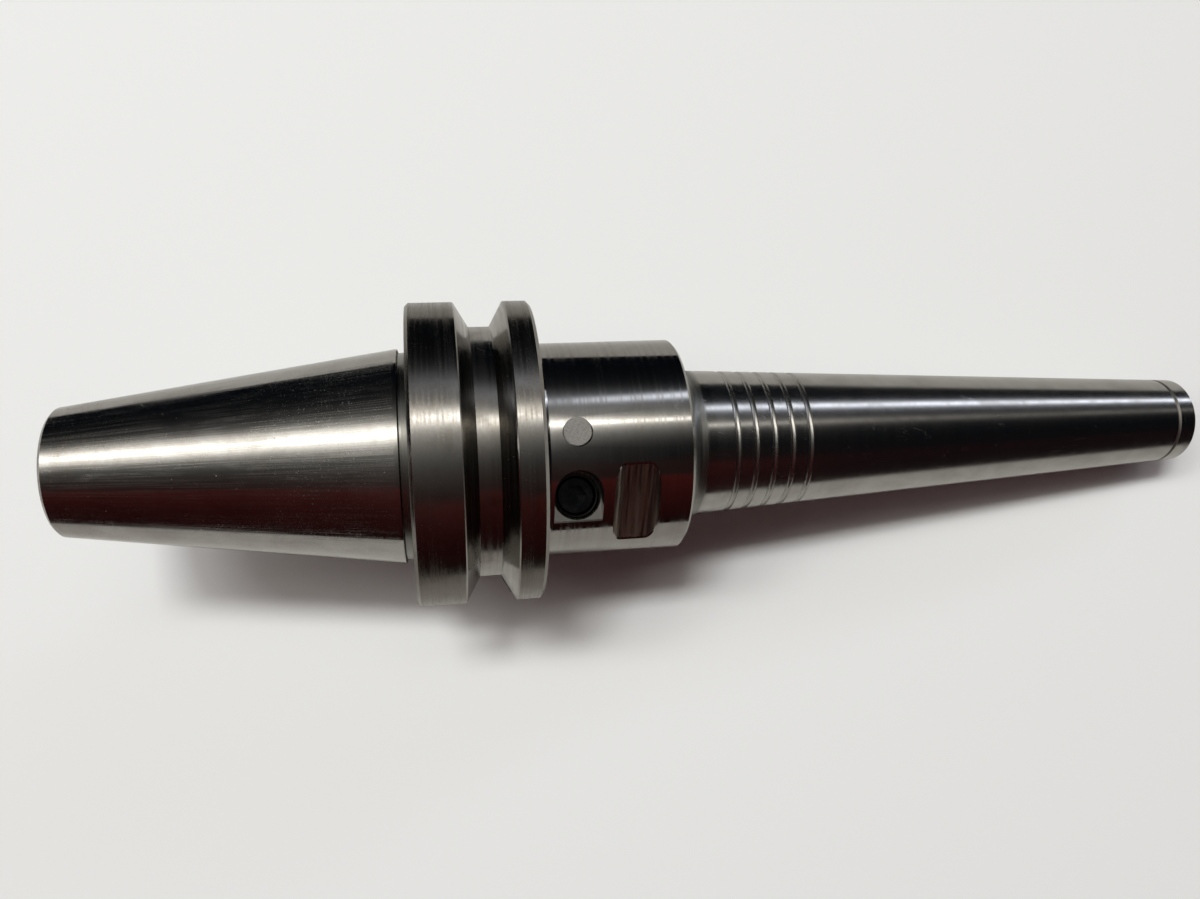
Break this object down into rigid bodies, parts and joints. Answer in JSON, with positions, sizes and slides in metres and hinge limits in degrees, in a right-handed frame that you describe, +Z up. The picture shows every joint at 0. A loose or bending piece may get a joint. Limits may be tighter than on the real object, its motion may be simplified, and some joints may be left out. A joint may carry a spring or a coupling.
{
  "type": "hydraulic expansion chuck",
  "caption": "Slim hydraulic tool holder: steep spindle taper, gripper flange with drive slots, clamp screw port and a long conical nose with an expanding clamping sleeve.",
  "frame": {"origin": "centre of the spindle taper's gauge line", "axes": "+X along the chuck's axis towards the tool, +Z up through the side that carries the fill plug, with the clamp screw's axis along Z on the -Y side; the chuck lies with its axis level"},
  "size_m": [0.2454, 0.061, 0.063],
  "materials": {
    "ground_steel": "hardened and ground, polished, fine grinding lines, with small stains and dings",
    "sleeve_steel": "hardened and ground, polished",
    "black_steel": "black oxide, slightly oily",
    "plug_steel": "matte, fine grained",
    "bright_steel": "polished",
    "piston_steel": "ground",
    "backup_plastic": "smooth",
    "seal_rubber": "smooth"
  },
  "bodies": {
    "chuck": {"chuck_body": "ground_steel", "expansion_sleeve": "sleeve_steel", "fill_ball": "bright_steel", "fill_screw": "black_steel", "fill_plug": "plug_steel"},
    "piston_set": {"piston": "piston_steel", "backup_ring": "backup_plastic", "piston_seal": "seal_rubber", "thrust_ball": "bright_steel"},
    "clamp_screw": {"clamp_screw": "black_steel"},
    "seal_ring": {"stop_seal_ring": "seal_rubber"},
    "stop_screw": {"stop_screw": "black_steel"}
  },
  "joints": [
    {"name": "piston_slide", "type": "slide", "parent": "chuck", "child": "piston_set", "axis": [0, 0, -1], "range_m": [0, 0.004]},
    {"name": "clamp_screw_turn", "type": "hinge", "parent": "piston_set", "child": "clamp_screw", "pos_m": [0.0338, -0.0102, 0.0114], "axis": [0, 0, -1], "range_deg": [0, 1440]},
    {"name": "stop_screw_slide", "type": "slide", "parent": "chuck", "child": "seal_ring", "axis": [-1, 0, 0], "range_m": [0, 0.01]},
    {"name": "stop_screw_turn", "type": "hinge", "parent": "seal_ring", "child": "stop_screw", "pos_m": [0.124, 0, 0], "axis": [-1, 0, 0], "range_deg": [0, 3600]}
  ],
  "couplings": [
    {"joint": "clamp_screw_turn", "follows": "piston_slide", "rad_per_m": 6283.2},
    {"joint": "stop_screw_turn", "follows": "stop_screw_slide", "rad_per_m": 6283.2}
  ]
}
